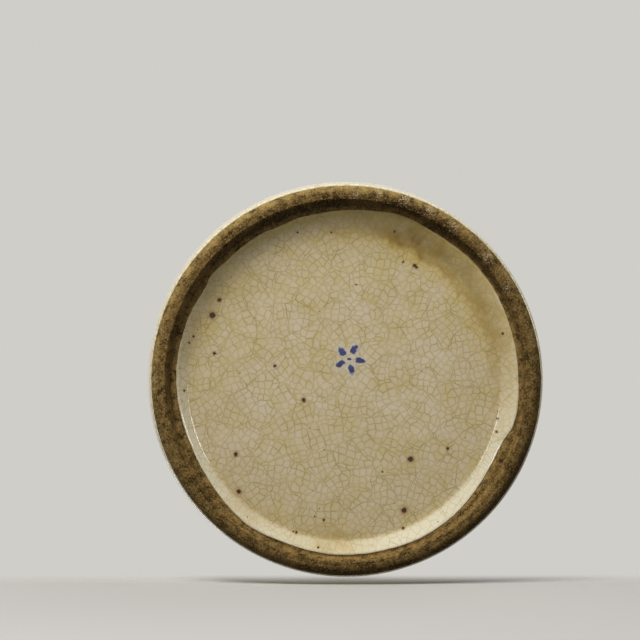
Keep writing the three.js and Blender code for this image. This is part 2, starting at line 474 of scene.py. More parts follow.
@dataclass(frozen=True)
class Underside:
    """The trimmed foot: a rounded ring, and a recess whose glaze stops at a wandering line.

    Its circles aren't quite concentric, because the foot was trimmed by hand. Their centres are given to
    the right and up in the photograph, from the centre of the ring's outer glaze line. All its sizes are
    in millimetres.
    """

    ring_segments: int = 1400
    ring_rows: int = 60
    base_segments: int = 840
    floor_rows: int = 38
    wall_rows: int = 48
    roll_rows: int = 14
    crest_inner: float = 72.9
    crest_outer: float = 74.2
    outer_line: float = 78.25
    outer_rise: float = 2.35
    mouth_radius: float = 70.7
    mouth_centre: Point = (0.3, -0.3)
    mouth_depth: float = 3.9
    mouth_tilt: float = 1.0
    mouth_tilt_deg: float = 120
    ledge: float = 0.2
    flank_round: float = 1.3
    floor_radius: float = 63.0
    floor_centre: Point = (-0.7, -1.3)
    cove: float = 0.25
    glaze: float = 0.22
    roll: float = 0.8
    roll_width: float = 1.6
    bead: float = 0.06
    bead_at: float = 0.9
    bead_width: float = 0.6
    grain: float = 0.2
    ripple: float = 0.15
    # How far the ring runs on under the recess's glaze, and under the wall's
    under_recess: float = 1.4
    under_wall: float = 0.35
    # The rings inside the clay that close each piece, as distances from the centre and heights
    ring_back: tuple[Point, ...] = ((78.6, 6.4), (70.0, 8.4))
    base_back: tuple[Point, ...] = ((72.0, 8.0), (76.5, 9.5))
    inside_radius: float = 74.5
    stop_reach: float = 8
    # The stop lies 4 mm deeper than the foot's plane, so the photograph shows it this much nearer the centre
    stop_nearer: float = 0.28
    # Where the glaze stops, as degrees round the foot and the distance from its centre
    stops: tuple[Point, ...] = (
        (0, 68.9), (20, 69.0), (30, 69.5), (45, 69.5), (55, 69.0), (60, 68.9), (65, 69.5), (74, 69.7),
        (80, 68.8), (90, 68.2), (100, 67.7), (106, 67.8), (113, 67.2), (120, 67.8), (134, 67.7),
        (142, 68.5), (144, 68.2), (146, 67.5), (150, 67.4), (156, 67.9), (176, 68.0), (190, 67.6),
        (204, 67.2), (215, 67.7), (225, 68.7), (234, 69.8), (236, 70.2), (241, 69.8), (248, 69.2),
        (265, 69.8), (285, 69.5), (295, 69.7), (308, 69.0), (320, 67.8), (327, 67.2), (336, 67.0),
        (340, 67.6), (344, 69.2), (350, 69.5), (356, 69.2),
    )

    def build(self, biscuit: Material, glaze: Material) -> list[Dressing]:
        """Builds the foot ring and the disc that closes the jar.

        Args:
            biscuit: The washed biscuit.
            glaze: The recess's glaze.

        Returns:
            The two pieces.
        """
        return [
            Dressing(self._foot_ring(biscuit), Body.JAR, Slot.FOOT, "foot_ring"),
            Dressing(self._base(glaze), Body.JAR, Slot.GLAZE, "base_floor"),
        ]

    @staticmethod
    def _circle(angles: np.ndarray, radius: float, centre: Point) -> np.ndarray:
        """Gives a circle's distance from the foot's centre at each angle, for a centre close to it."""
        return radius + centre[0] * np.cos(angles) + centre[1] * np.sin(angles)

    def _glaze_stop(self, angles: np.ndarray) -> np.ndarray:
        """Gives how far the recess's glaze reaches, with small ripples between the larger strays.

        Args:
            angles: Angles round the foot.

        Returns:
            The stop's distance from the foot's centre at each.
        """
        at, reach = zip(*self.stops)
        softened = [np.interp(np.degrees(angles) + turn, at, reach, period=360) for turn in (-1, 0, 1)]
        way = np.column_stack((np.cos(angles), np.sin(angles), np.zeros_like(angles)))
        return np.mean(softened, axis=0) + uneven(way, (22, self.ripple)) + self.stop_nearer

    def _nearness(self, distance: np.ndarray) -> np.ndarray:
        """Gives how near a place lies to the glaze's stop, from 1 at the stop to 0 at its reach."""
        return np.clip(1 - np.abs(distance) / self.stop_reach, 0, 1)

    def _clay_height(self, angles: np.ndarray, radius: np.ndarray) -> np.ndarray:
        """Gives the clay's height over the standing plane.

        Args:
            angles: Angles round the foot.
            radius: Distances from the foot's centre, by row and by angle.

        Returns:
            The height at each, from the ring's steep inner flank to the recess's flat floor.
        """
        mouth = self._circle(angles, self.mouth_radius, self.mouth_centre)
        floor = self._circle(angles, self.floor_radius, self.floor_centre)
        # The recess was trimmed a little aslant, so that its mouth lies deepest on one side
        lip = self.mouth_depth + self.mouth_tilt * np.cos(angles - math.radians(self.mouth_tilt_deg))
        deep = LEVELS.foot_top / MM
        share = (mouth - radius) / (mouth - floor)
        short = (lip - self._cove(lip, deep)) * np.clip(1 - share, 0, 1)
        # The first fifth of the way in is a nearly level ledge
        past = (share - self.ledge) / (1 - self.ledge)
        climb = 0.5 * (past + np.sqrt(past**2 + 0.01))
        wall = self._cove(lip + climb * (deep - lip), deep) + short
        width = self.crest_inner - mouth
        steep = np.sqrt((lip + self.flank_round) ** 2 - self.flank_round**2) / width
        inwards = np.clip(self.crest_inner - radius, 0, width)
        flank = np.sqrt((steep * inwards) ** 2 + self.flank_round**2) - self.flank_round
        run = self.outer_line - self.crest_outer
        bend = (run**2 + self.outer_rise**2) / (2 * self.outer_rise)
        outwards = np.clip(radius - self.crest_outer, 0, run)
        outer = bend - np.sqrt(bend**2 - outwards**2)
        return np.where(radius < mouth, wall, np.maximum(flank, outer))

    def _cove(self, climb: np.ndarray, deep: float) -> np.ndarray:
        """Gives the lower of the wall's climb and the floor, with the cove that joins them."""
        return 0.5 * (climb + deep - np.sqrt((climb - deep) ** 2 + 4 * self.cove**2))

    @staticmethod
    def _place(angles: np.ndarray, radius: np.ndarray, height: np.ndarray) -> np.ndarray:
        """Places rows of distances and heights round the foot's own centre.

        Args:
            angles: Angles round the foot, counter-clockwise in the photograph.
            radius: Distances from its centre, by row and by angle, in millimetres.
            height: Heights, in the same way.

        Returns:
            The points, in metres.
        """
        way = np.outer(np.cos(angles), PHOTO.right) + np.outer(np.sin(angles), PHOTO.up)
        rows = (radius[..., None] * way + height[..., None] * np.array((0, 0, 1))) * MM
        return rows + np.array(PHOTO.from_axis(*PHOTO.foot_px))

    def _rings(self, angles: np.ndarray, *rings: tuple[np.ndarray | float, ...]) -> np.ndarray:
        """Places rings at the angles round the foot, each given by its distance and its height."""
        sides = ([np.broadcast_to(row, angles.shape) for row in side] for side in zip(*rings))
        return self._place(angles, *(np.stack(side) for side in sides))

    def _foot_ring(self, material: Material) -> Object:
        """Builds the unglazed ring, gritty where it shows, and closed inside the clay.

        Args:
            material: The washed biscuit.

        Returns:
            The ring.
        """
        angles = np.linspace(0, TURN, self.ring_segments, endpoint=False)
        stop = self._glaze_stop(angles)
        start, end = stop - self.under_recess, self.outer_line + self.under_wall
        radius = start + (end - start) * np.linspace(0, 1, self.ring_rows)[:, None]
        height = self._clay_height(angles, radius) + 2.4 * np.maximum(radius - self.outer_line, 0)
        points = self._place(angles, radius, height)
        # Grit and turning marks hollow the clay
        lift = self.grain * (0.9 + uneven(points, (300, 0.5), (1300, 0.6), (2600, 0.35)))
        points[..., 2] = np.maximum(points[..., 2] + lift * MM, 0)
        back = self._rings(angles, *self.ring_back, (start - 0.2, height[0] + 1.2))
        near = self._nearness(radius - stop)
        return loft("foot_ring_biscuit", np.concatenate((points, back)), material, True, near)

    def _base(self, material: Material) -> Object:
        """Builds the disc that closes the jar, with the recess's glaze rolled round at its stop.

        Args:
            material: The recess's glaze.

        Returns:
            The disc, glazed on both sides.
        """
        angles = np.linspace(0, TURN, self.base_segments, endpoint=False)
        stop = self._glaze_stop(angles)
        floor = self._circle(angles, self.floor_radius, self.floor_centre) - 3
        flat = floor * np.linspace(0, 1, self.floor_rows)[:, None]
        wall = floor + (stop - self.roll_width - floor) * np.linspace(0, 1, self.wall_rows)[1:, None]
        rolled = stop - self.roll_width * (1 - np.linspace(0, 1, self.roll_rows)[1:, None] ** 0.7)
        radius = np.concatenate((flat, wall, rolled))
        inwards = stop - radius
        share = np.clip(inwards / self.roll, 0, 1)
        coat = self.glaze * np.sqrt(1 - (1 - share) ** 2)
        bead = self.bead * np.exp(-(((inwards - self.bead_at) / self.bead_width) ** 2)) * share
        clay = self._clay_height(angles, radius)
        clay[0] = clay[0].mean()
        points = self._place(angles, radius, clay - coat - bead)
        # The trimmed floor is slowly uneven under its glaze
        points[..., 2] += uneven(points, (55, 0.2), (160, 0.06)) * np.clip(inwards / 3, 0, 1) * MM
        inside = [(reach, LEVELS.floor_top / MM) for reach in np.linspace(self.inside_radius, 0, 9)]
        back = self._rings(angles, (stop + 0.25, clay[-1] + 0.5), *self.base_back, *inside)
        return loft("base_glaze", np.concatenate((points, back)), material, False, self._nearness(inwards))


# Finishes


class Canvas:
    """A material in the making: what adds its nodes, and its colour as far as it is painted.

    Its place is the place on the piece in millimetres, and its flat place is the same with no height.
    """

    def __init__(self, name: str, colour: str) -> None:
        """Makes the empty material.

        Args:
            name: The material's name.
            colour: The colour to start from, as sRGB hex.
        """
        self.material = bpy.data.materials.new(name)
        self.material.use_nodes = True
        self.material.node_tree.nodes.clear()
        self.node: Adder = partial(add, self.material.node_tree)
        self.place = self.node("VectorMath SCALE", self.node("TexCoord").outputs["Object"], Scale=1 / MM)
        self.flat = self.node("VectorMath MULTIPLY", self.place, LEVEL)
        self.colour: Source = linear(colour)

    def lay(self, *coats: tuple[Source, str | Source]) -> None:
        """Lays colours over one another.

        Args:
            coats: For each, how much of it shows, and its hex or where it comes from.
        """
        for share, hue in coats:
            hue = linear(hue) if isinstance(hue, str) else hue
            self.colour = self.node("Mix", data_type="RGBA", Factor=share, A=self.colour, B=hue)

    def surface(self, **look: Source) -> Material:
        """Gives the material its surface, in the colour that was painted.

        Args:
            look: The shader's other inputs.

        Returns:
            The finished material.
        """
        shader = self.node("BsdfPrincipled", Base_Color=self.colour, **look)
        self.node("OutputMaterial", Surface=shader)
        return self.material


@dataclass(frozen=True)
class Crackle:
    """The net of cracks in a glaze that shrank more than its clay, rubbed with a tan stain.

    It gives the eye pale blocky cells with thin lines between them. Long cracks open first. Later ones
    run between them and stop there, so each finer net is drawn anew, and turned its own way, inside every
    cell of the one before. It is blocky, as later cracks meet earlier ones squarely.
    A crack is finer than a hair, and is drawn a quarter of a millimetre wide so that it shows.
    """

    cells_mm: tuple[float, ...] = (9.5, 2.7)
    disorders: tuple[float, ...] = (0.8, 0.5)
    weights: tuple[float, ...] = (0.68, 0.62)
    line_mm: float = 0.25
    halo_mm: float = 0.75
    bend_mm: float = 0.8
    apart_mm: float = 90.0

    def nets(self, canvas: Canvas, dimensions: str) -> tuple[Source, Source, Source]:
        """Adds the nets.

        Args:
            canvas: What they are drawn on.
            dimensions: "2D" for a flat floor, on which cells shouldn't be cut aslant, or else "3D".

        Returns:
            How strongly a place lies on a crack, and in a crack's halo, and its cell's own tint.
        """
        node = canvas.node
        drift = node("TexNoise", Vector=canvas.place, Scale=0.12, Detail=2.0).outputs["Color"]
        bend = node("VectorMath SCALE", node("VectorMath SUBTRACT", drift, HALF), Scale=6 * self.bend_mm)
        where = bent = node("VectorMath ADD", canvas.place, bend)
        crack, halo, own = 0.0, 0.0, None
        spin = (0, 0, TURN) if dimensions == "2D" else (TURN,) * 3
        for cell, disorder, weight in zip(self.cells_mm, self.disorders, self.weights):
            spread = {"Vector": where, "Scale": 1 / cell, "Randomness": disorder}
            spread["voronoi_dimensions"] = dimensions
            edge = node("TexVoronoi", feature="DISTANCE_TO_EDGE", **spread)
            own = node("TexVoronoi", **spread).outputs["Color"]
            thin = self.line_mm / 2 / cell
            line = node("MapRange", edge, 1.9 * thin, 0.3 * thin, 0.0, weight, **SOFT)
            around = node("MapRange", edge, self.halo_mm / cell, 0.0, 0.0, weight, **SOFT)
            crack, halo = node("Math MAXIMUM", crack, line), node("Math MAXIMUM", halo, around)
            angles = node("VectorMath MULTIPLY", own, spin)
            turned = node("VectorRotate", Vector=bent, Rotation=angles, rotation_type="EULER_XYZ")
            where = node("VectorMath ADD", turned, node("VectorMath SCALE", own, Scale=self.apart_mm))
        taken = node("TexNoise", Vector=canvas.place, Scale=0.17, Detail=3.0)
        uptake = node("MapRange", taken, 0.34, 0.62, 0.3)
        return node("Math MULTIPLY", crack, uptake), halo, node("SeparateColor", own)


@dataclass(frozen=True)
class Glaze:
    """Cream porcelain glaze, fired glossy and crackled, over pale clay.

    It gives the eye a warm, slightly uneven cream that reflects sharply, with stained cracks, a few iron
    specks, and cobalt that lies softly under the surface.
    """

    name: str
    crackle: Crackle = Crackle()
    dimensions: str = "3D"
    clear: str = "d2cbb6"
    warm: str = "c5ba95"
    stain: str = "8d7a49"
    iron: str = "3a1d06"
    rust: str = "8a5e2c"
    ink_thick: str = "10154a"
    ink_thin: str = "293880"
    ink_bleed: str = "b9b8b2"
    refraction: float = 1.5
    gloss: float = 0.1

    def make(self) -> Material:
        """Builds the material.

        Returns:
            The glaze.
        """
        canvas = Canvas(self.name, self.clear)
        node = canvas.node
        crack, halo, tint = self.crackle.nets(canvas, self.dimensions)
        patch = node("TexNoise", Vector=canvas.place, Scale=0.09, Detail=5.0, Roughness=0.7)
        share = node("Math MULTIPLY_ADD", tint, 0.35, node("MapRange", patch, 0.36, 0.72))
        spread = node("Math MULTIPLY_ADD", halo, 0.6, share)
        canvas.lay((node("Math MULTIPLY", spread, 0.75, use_clamp=True), self.warm))
        crack = self.wear_and_light(canvas, crack)
        canvas.lay((crack, self.stain))
        pits = self.paint(canvas)
        skin = node("TexNoise", Vector=canvas.place, Scale=0.22, Detail=2.0)
        pressed = node("Math MULTIPLY_ADD", crack, -0.12, skin)
        height = node("Math MULTIPLY_ADD", pits, -0.7, pressed)
        bump = node("Bump", Height=height, Strength=0.2, Distance=0.25 * MM)
        worn = node("MapRange", skin, 0.0, 1.0, self.gloss, self.gloss + 0.08)
        return canvas.surface(Roughness=worn, Normal=bump, IOR=self.refraction)

    def wear_and_light(self, canvas: Canvas, crack: Source) -> Source:
        """Changes the glaze's own colour, as dirt and painted light and shade do in the recess, and gives
        what is left of its cracks.
        """
        return crack

    def paint(self, canvas: Canvas) -> Source:
        """Paints cobalt and iron over the glaze, and gives how deep a place lies in a pit."""
        raise NotImplementedError

    def cobalt(self, canvas: Canvas, place: Source, edge: Source) -> None:
        """Lays on cobalt, thin in places as a brush leaves it, and bled into the glaze.

        Args:
            canvas: What it is painted on.
            place: The place in millimetres that the brush's load follows.
            edge: The distance from a stroke's middle, in half-widths of the stroke.
        """
        node = canvas.node
        bleed = node("MapRange", edge, 2.1, 0.9, 0.0, 0.4, **SOFT)
        ink = node("MapRange", edge, 1.15, 0.75, 0.0, 0.95, **SOFT)
        load = node("TexNoise", Vector=place, Scale=0.45, Detail=2.0)
        thick = node("MapRange", load, 0.34, 0.6)
        thin = linear(self.ink_thin)
        blue = node("Mix", data_type="RGBA", Factor=thick, A=thin, B=linear(self.ink_thick))
        canvas.lay((bleed, self.ink_bleed), (ink, blue))

    def rusted(self, canvas: Canvas, near: Source) -> Source:
        """Adds specks of iron that boiled up through the glaze, each with a rusty edge.

        Args:
            canvas: What they are painted on.
            near: The distance from the nearest speck's middle, in widths of the speck.

        Returns:
            How deep a place lies in a speck.
        """
        rust = canvas.node("MapRange", near, 1.25, 0.5, 0.0, 0.5, **SOFT)
        iron = canvas.node("MapRange", near, 0.68, 0.36, **SOFT)
        canvas.lay((rust, self.rust), (iron, self.iron))
        return iron


@dataclass(frozen=True)
class WallGlaze(Glaze):
    """The crackle glaze of the walls and the lid, with brushed lines and scattered specks.

    Each line was brushed on while the jar turned on the wheel, and is given by its height and its width in
    millimetres.
    """

    lines: tuple[Point, ...] = ()
    speck_gap_mm: float = 19.0
    speck_mm: float = 0.8

    def paint(self, canvas: Canvas) -> Source:
        """Adds the brushed lines, each a little unsteady, and the specks.

        Args:
            canvas: What they are painted on.

        Returns:
            How deep a place lies in a pit.
        """
        node = canvas.node
        high = node("SeparateXYZ", canvas.place).outputs["Z"]
        shake = node("TexNoise", Vector=canvas.place, Scale=0.05, Detail=4.0)
        level = node("Math MULTIPLY_ADD", shake, 1.6, high)
        edges = []
        for height, width_mm in self.lines:
            gap = node("Math ABSOLUTE", node("Math SUBTRACT", level, height / MM + 0.8))
            edges.append(node("Math DIVIDE", gap, 0.5 * width_mm))
        # The brush never reached the faces that turn towards the axis
        outwards = node("VectorMath DOT_PRODUCT", canvas.flat, node("NewGeometry").outputs["Normal"])
        inner = node("MapRange", outwards, 0.0, -2.0, 0.0, 9.0)
        if edges:
            nearest = reduce(partial(node, "Math MINIMUM"), edges)
            self.cobalt(canvas, canvas.place, node("Math ADD", nearest, inner))
        seeds = node("TexVoronoi", Vector=canvas.place, Scale=1 / self.speck_gap_mm)
        return self.rusted(canvas, node("Math MULTIPLY", seeds, self.speck_gap_mm / self.speck_mm))


@dataclass(frozen=True)
class Spot:
    """A spot on the underside, placed as the photograph shows it, from the foot's centre."""

    right_mm: float
    up_mm: float
    across_mm: float

    def far(self, node: Adder, place: Source) -> Source:
        """Adds how far a place lies from the spot's middle, in widths of the spot."""
        away = node("VectorMath DISTANCE", place, PHOTO.on_foot(self.right_mm, self.up_mm))
        return node("Math DIVIDE", away, self.across_mm)


@dataclass(frozen=True)
class Blossom:
    """A generic blossom of five brush dabs round a dot, about as large as a thumbnail."""

    right_mm: float = 1.4
    up_mm: float = 8.6
    petal_at_mm: float = 4.3
    petal_long_mm: float = 2.1
    petal_wide_mm: float = 1.35
    heart_mm: float = 0.75
    turn_deg: float = 17
    petals: int = 5

    def edge(self, node: Adder, flat: Source) -> Source:
        """Adds the distance from the nearest dab's middle.

        Args:
            node: What adds a node to the glaze.
            flat: The place in the recess, in millimetres, with no height.

        Returns:
            The distance, in half-widths of the dab.
        """
        centred = {"Vector": flat, "Location": PHOTO.on_foot(self.right_mm, self.up_mm)}
        turned = (0, 0, math.radians(self.turn_deg))
        local = node("Mapping", vector_type="TEXTURE", Rotation=turned, **centred)
        shake = node("TexNoise", Vector=local, Scale=0.55, Detail=3.0).outputs["Color"]
        nudge = node("VectorMath MULTIPLY", node("VectorMath SUBTRACT", shake, HALF), (2.4, 2.4, 0))
        loose = node("VectorMath ADD", local, nudge)
        at = node("SeparateXYZ", loose).outputs
        sector = TURN / self.petals
        shifted = node("Math ADD", node("Math ARCTAN2", at["Y"], at["X"]), TURN + sector / 2)
        off = node("Math SUBTRACT", node("Math MODULO", shifted, sector), sector / 2)
        reach = node("VectorMath LENGTH", loose)
        along = node("Math MULTIPLY", reach, node("Math COSINE", off))
        beside = node("Math MULTIPLY", reach, node("Math SINE", off))
        dab = node("CombineXYZ", node("Math SUBTRACT", along, self.petal_at_mm), beside)
        shape = (1 / self.petal_long_mm, 1 / self.petal_wide_mm, 0)
        petal = node("VectorMath LENGTH", node("VectorMath MULTIPLY", dab, shape))
        return node("Math MINIMUM", petal, node("Math DIVIDE", reach, self.heart_mm))


@dataclass(frozen=True)
class Lobe:
    """One stretch of the recess's edge that the tea-coloured band darkens most: a dirt stain on most lobes,
    painted shade on the upper ones.
    """

    angle_deg: float
    narrowness: float
    strength: float


@dataclass(frozen=True)
class RecessGlaze(Glaze):
    """The crackle glaze of the recess, with its stained edge, its blossom and its iron specks.

    It is thin and pale on the sloping wall, where it ran off, and a painted highlight makes the wall's lower
    side, which faces the light, paler still. It is warmer on the floor, where it pooled, and tan near the
    ring on its upper side, partly stain and partly painted shade.
    """

    dimensions: str = "2D"
    clear: str = "c7b99f"
    warm: str = "baa875"
    stain: str = "87733a"
    # Paler glaze for the wall's lower side: thin glaze and a painted highlight where the light falls
    thin: str = "c6bfa6"
    aged: str = "a08440"
    # Tea and dirt also stand in for warm shade on the upper wall near the ring: painted shade
    tea: str = "bb9f48"
    dirt: str = "765810"
    gloss: float = 0.05
    foot: Underside = Underside()
    blossom: Blossom = Blossom()
    specks: tuple[Spot, ...] = (
        Spot(-51.0, 32.4, 1.5), Spot(-53.8, 26.2, 2.3), Spot(-53.0, 10.9, 1.1), Spot(-28.6, 5.8, 1.2),
        Spot(-17.0, -7.9, 1.5), Spot(-44.4, -29.7, 1.6), Spot(-43.2, -44.8, 1.7), Spot(27.7, 46.2, 1.4),
        Spot(28.3, 45.5, 1.1), Spot(23.0, 47.7, 0.8), Spot(19.5, 59.9, 1.0), Spot(63.0, 18.8, 1.0),
        Spot(60.9, -15.3, 0.8), Spot(60.6, -20.7, 0.9), Spot(26.0, -31.7, 2.1), Spot(41.0, -27.5, 1.1),
        Spot(23.4, -52.3, 2.1), Spot(23.0, -59.5, 1.0), Spot(-8.9, -56.2, 0.9), Spot(-12.6, -54.8, 0.6),
        Spot(-20.0, -61.2, 0.9), Spot(-21.2, -60.8, 0.6), Spot(-11.2, -67.0, 0.8), Spot(14.7, -36.8, 0.7),
        Spot(4.1, 38.6, 0.6), Spot(-61.4, 17.7, 0.8), Spot(-63.1, 15.2, 0.7), Spot(-65.0, -4.2, 0.8),
        Spot(-19.5, 59.6, 0.7), Spot(-6.0, 59.6, 0.7),
    )
    pinhole_gap_mm: float = 7.5
    pinhole_mm: float = 0.36
    # The lobes at 86 and 150 degrees tint the upper wall that the ring shades: painted shade
    stains_and_shade: tuple[Lobe, ...] = (
        Lobe(64, 40, 0.85), Lobe(45, 50, 0.4), Lobe(25, 40, 0.42), Lobe(10, 20, 0.22), Lobe(86, 14, 0.3),
        Lobe(-94, 40, 0.3), Lobe(-128, 30, 0.2), Lobe(150, 8, 0.25),
    )

    def wear_and_light(self, canvas: Canvas, crack: Source) -> Source:
        """Yellows the floor towards its edge, pales the wall's lower side with thin glaze and a painted
        highlight, and soaks in the dirt, with painted shade in it near the ring on the upper side.

        Args:
            canvas: What is worn.
            crack: How strongly a place lies on a crack.

        Returns:
            What is left of the cracks.
        """
        node, edge = canvas.node, self.foot.floor_radius
        from_centre = node("VectorMath SUBTRACT", canvas.flat, PHOTO.on_foot(*self.foot.floor_centre))
        radius = node("VectorMath LENGTH", from_centre)
        way = node("VectorMath NORMALIZE", from_centre)
        upwards = node("VectorMath DOT_PRODUCT", way, PHOTO.up)
        on_wall = node("MapRange", radius, edge - 0.6, edge + 1.2, **SOFT)
        outwards = node("MapRange", radius, edge - 29, edge - 9, 0.0, 0.17)
        ageing = node("Math MULTIPLY", outwards, node("Math SUBTRACT", 1.0, on_wall))
        # The wall's lower side faces the light: thin glaze and a painted highlight make it paler
        bare = node("Math MULTIPLY", on_wall, node("MapRange", upwards, 0.3, -0.6, 0.0, 0.8))
        near = node("Attribute", attribute_name=NEAR_STOP).outputs["Fac"]
        slow = {"Vector": canvas.flat, "Detail": 5.0, "Roughness": 0.62}
        drift = node("TexNoise", Scale=0.12, **slow)
        rim = node("MapRange", node("Math MULTIPLY_ADD", drift, 0.9, near), 0.7, 1.4, **SOFT)
        # Painted warm shade with a tea stain, near the ring's stop on the upper side, which the ring shades
        grime_and_shade = node("Math MULTIPLY", rim, node("MapRange", upwards, 0.35, 0.95, 0.0, 0.75))
        canvas.lay((ageing, self.aged), (bare, self.thin), (grime_and_shade, self.tea))
        # The stain gathers where the floor turns up to the foot ring; on the upper side it is partly painted
        # shade under the ring
        total = 0.0
        for lobe in self.stains_and_shade:
            facing = node("VectorMath DOT_PRODUCT", way, PHOTO.side(lobe.angle_deg))
            narrow = node("Math POWER", node("Math MAXIMUM", facing, 0.0), lobe.narrowness)
            total = node("Math MULTIPLY_ADD", narrow, lobe.strength, total)
        ragged = node("MapRange", node("TexNoise", Scale=0.16, **slow), 0.36, 0.62, 0.5, 0.95)
        wander = node("Math MULTIPLY_ADD", drift, 14.0, radius)
        for hue, reach, gain in ((self.tea, 9.0, 1.4), (self.dirt, 5.0, 1.0)):
            inner = node("MapRange", wander, edge + 6 - reach, edge + 5, **SOFT)
            outer = node("MapRange", wander, edge + 6 + 2 * reach, edge + 7, 0.0, gain, **SOFT)
            band = node("Math MULTIPLY", inner, outer)
            amount = node("Math MULTIPLY", band, total, use_clamp=True)
            canvas.lay((node("Math MULTIPLY", amount, ragged), hue))
        return node("Math MULTIPLY", crack, node("MapRange", on_wall, 0.0, 1.0, 1.0, 0.6))

    def paint(self, canvas: Canvas) -> Source:
        """Adds the blossom and the specks of iron.

        Args:
            canvas: What they are painted on.

        Returns:
            How deep a place lies in a pit.
        """
        node, flat = canvas.node, canvas.flat
        self.cobalt(canvas, flat, self.blossom.edge(node, flat))
        ragged = node("TexNoise", Vector=flat, Scale=1.1, Detail=2.0).outputs["Color"]
        shaken = node("VectorMath MULTIPLY", node("VectorMath SUBTRACT", ragged, HALF), (0.8, 0.8, 0))
        loose = node("VectorMath ADD", flat, shaken)
        nearest = reduce(partial(node, "Math MINIMUM"), [speck.far(node, loose) for speck in self.specks])
        holes = node("TexVoronoi", Vector=loose, Scale=1 / self.pinhole_gap_mm, voronoi_dimensions="2D")
        sparse = node("TexNoise", Vector=flat, Scale=0.13, Detail=2.0)
        closed = node("MapRange", sparse, 0.62, 0.54, 0.0, 4.0)
        pinhole = node("Math MULTIPLY_ADD", holes, self.pinhole_gap_mm / self.pinhole_mm, closed)
        return self.rusted(canvas, node("Math MINIMUM", nearest, pinhole))


@dataclass(frozen=True)
class Biscuit:
    """Unglazed porcelain clay, turned on the wheel and brushed with an iron wash that fired brown.

    It gives the eye a matt, gritty brown with darker streaks along the turning and a ginger burn beside
    the glaze. The outer shoulder is paler on the side that the light falls on, partly from the wash worn
    thin and partly as painted light, and darker on the other side as painted shade, and the inner flank is
    painted very dark on the side away from the light. Kiln sand sticks to it in places.
    """

    name: str
    mid: str = "775e35"
    dark: str = "33250e"
    # Painted shade for the inner flank's unlit side
    flank_shade: str = "1c1306"
    ginger: str = "886c3e"
    worn: str = "967f50"
    pale: str = "a3947c"
    grit_mm: float = 0.65
    streak_mm: float = 0.6
    outer_zone_from_mm: float = 75.0
    outer_zone_to_mm: float = 77.0
    # Painted shade: the inner flank turns very dark on the side that faces away from the light.
    # Painted light: the outer shoulder is paler on the side that the light falls on
    shaded_flank_deg: float = 88
    lit_side_deg: float = 115
    sand: tuple[Spot, ...] = ()

    def make(self) -> Material:
        """Builds the material.

        Returns:
            The washed clay.
        """
        canvas = Canvas(self.name, self.dark)
        node, place, flat = canvas.node, canvas.place, canvas.flat
        radius = node("VectorMath DISTANCE", flat, PHOTO.on_foot(0, 0))
        way = node("VectorMath NORMALIZE", flat)
        streak = self._streaks(canvas, way, radius)
        blotch = node("TexNoise", Vector=place, Scale=0.3, Detail=6.0, Roughness=0.7)
        grit = node("TexNoise", Vector=place, Scale=1 / self.grit_mm, Detail=3.0, Roughness=0.7)
        burn = node("TexNoise", Vector=place, Scale=0.08, Detail=3.0)
        wash = node("MapRange", node("Math MULTIPLY_ADD", streak, 0.3, blotch), 0.56, 0.74)
        edge = node("MapRange", radius, self.outer_zone_from_mm, self.outer_zone_to_mm, **SOFT)
        patchy = node("MapRange", blotch, 0.36, 0.6, 0.0, 0.85)
        # Painted light and shade: the outer shoulder is paler towards the lit side, partly from the wash worn
        # thin, and darker elsewhere
        lifted = node("VectorMath DOT_PRODUCT", way, PHOTO.side(self.lit_side_deg))
        worn = node("Math MULTIPLY", edge, node("MapRange", lifted, -0.9, 0.5))
        near = node("Attribute", attribute_name=NEAR_STOP).outputs["Fac"]
        beside = node("Math MULTIPLY", node("MapRange", near, 0.7, 0.88), patchy)
        # Painted shade: very dark on the inner flank near the glaze's stop, on the side away from the light
        shaded = node("VectorMath DOT_PRODUCT", way, PHOTO.side(self.shaded_flank_deg))
        close = node("MapRange", near, 0.25, 0.5)
        glow = node("MapRange", burn, 0.5, 0.62, 0.0, 0.35)
        canvas.lay(
            (wash, self.mid),
            # Painted shade: the outer shoulder darkens away from the lit side
            (node("Math SUBTRACT", edge, worn), self.dark),
            (node("Math MULTIPLY", worn, patchy), self.worn),
            (node("Math MULTIPLY", node("MapRange", shaded, 0.45, 0.98), close), self.flank_shade),
            (node("Math MAXIMUM", beside, glow), self.ginger),
            (node("MapRange", grit, 0.52, 0.68, 0.0, 0.75), self.worn),
            (node("MapRange", grit, 0.5, 0.32, 0.0, 0.7), self.dark),
        )
        if self.sand:
            canvas.lay((self._crust(canvas), self.pale))
        height = node("Math MULTIPLY_ADD", streak, 0.5, grit)
        bump = node("Bump", Height=height, Strength=0.75, Distance=0.28 * MM)
        return canvas.surface(Roughness=0.82, Normal=bump, Specular_IOR_Level=0.12)

    def _streaks(self, canvas: Canvas, way: Source, radius: Source) -> Source:
        """Adds a noise drawn out along the turning.

        Args:
            canvas: What it is drawn on.
            way: The direction from the axis.
            radius: The distance from the foot's centre, in millimetres.

        Returns:
            The noise.
        """
        node = canvas.node
        upright = node("SeparateXYZ", canvas.place).outputs["Z"]
        across = node("Math MULTIPLY", radius, 1 / self.streak_mm)
        rise = node("CombineXYZ", Z=node("Math MULTIPLY_ADD", upright, 1 / self.streak_mm, across))
        along = node("VectorMath ADD", node("VectorMath SCALE", way, Scale=5.0), rise)
        return node("TexNoise", Vector=along, Scale=1.0, Detail=3.0)

    def _crust(self, canvas: Canvas) -> Source:
        """Adds the flecks of pale kiln sand that stick in patches.

        Args:
            canvas: What they stick to.

        Returns:
            How much sand lies at a place.
        """
        node = canvas.node
        nearest = reduce(partial(node, "Math MINIMUM"), [patch.far(node, canvas.flat) for patch in self.sand])
        fine = node("TexNoise", Vector=canvas.flat, Scale=1.5, Detail=2.0)
        flecks = node("Math MULTIPLY_ADD", nearest, -0.24, fine)
        return node("MapRange", flecks, 0.47, 0.56, 0.0, 0.85, **SOFT)


# The thrown jar


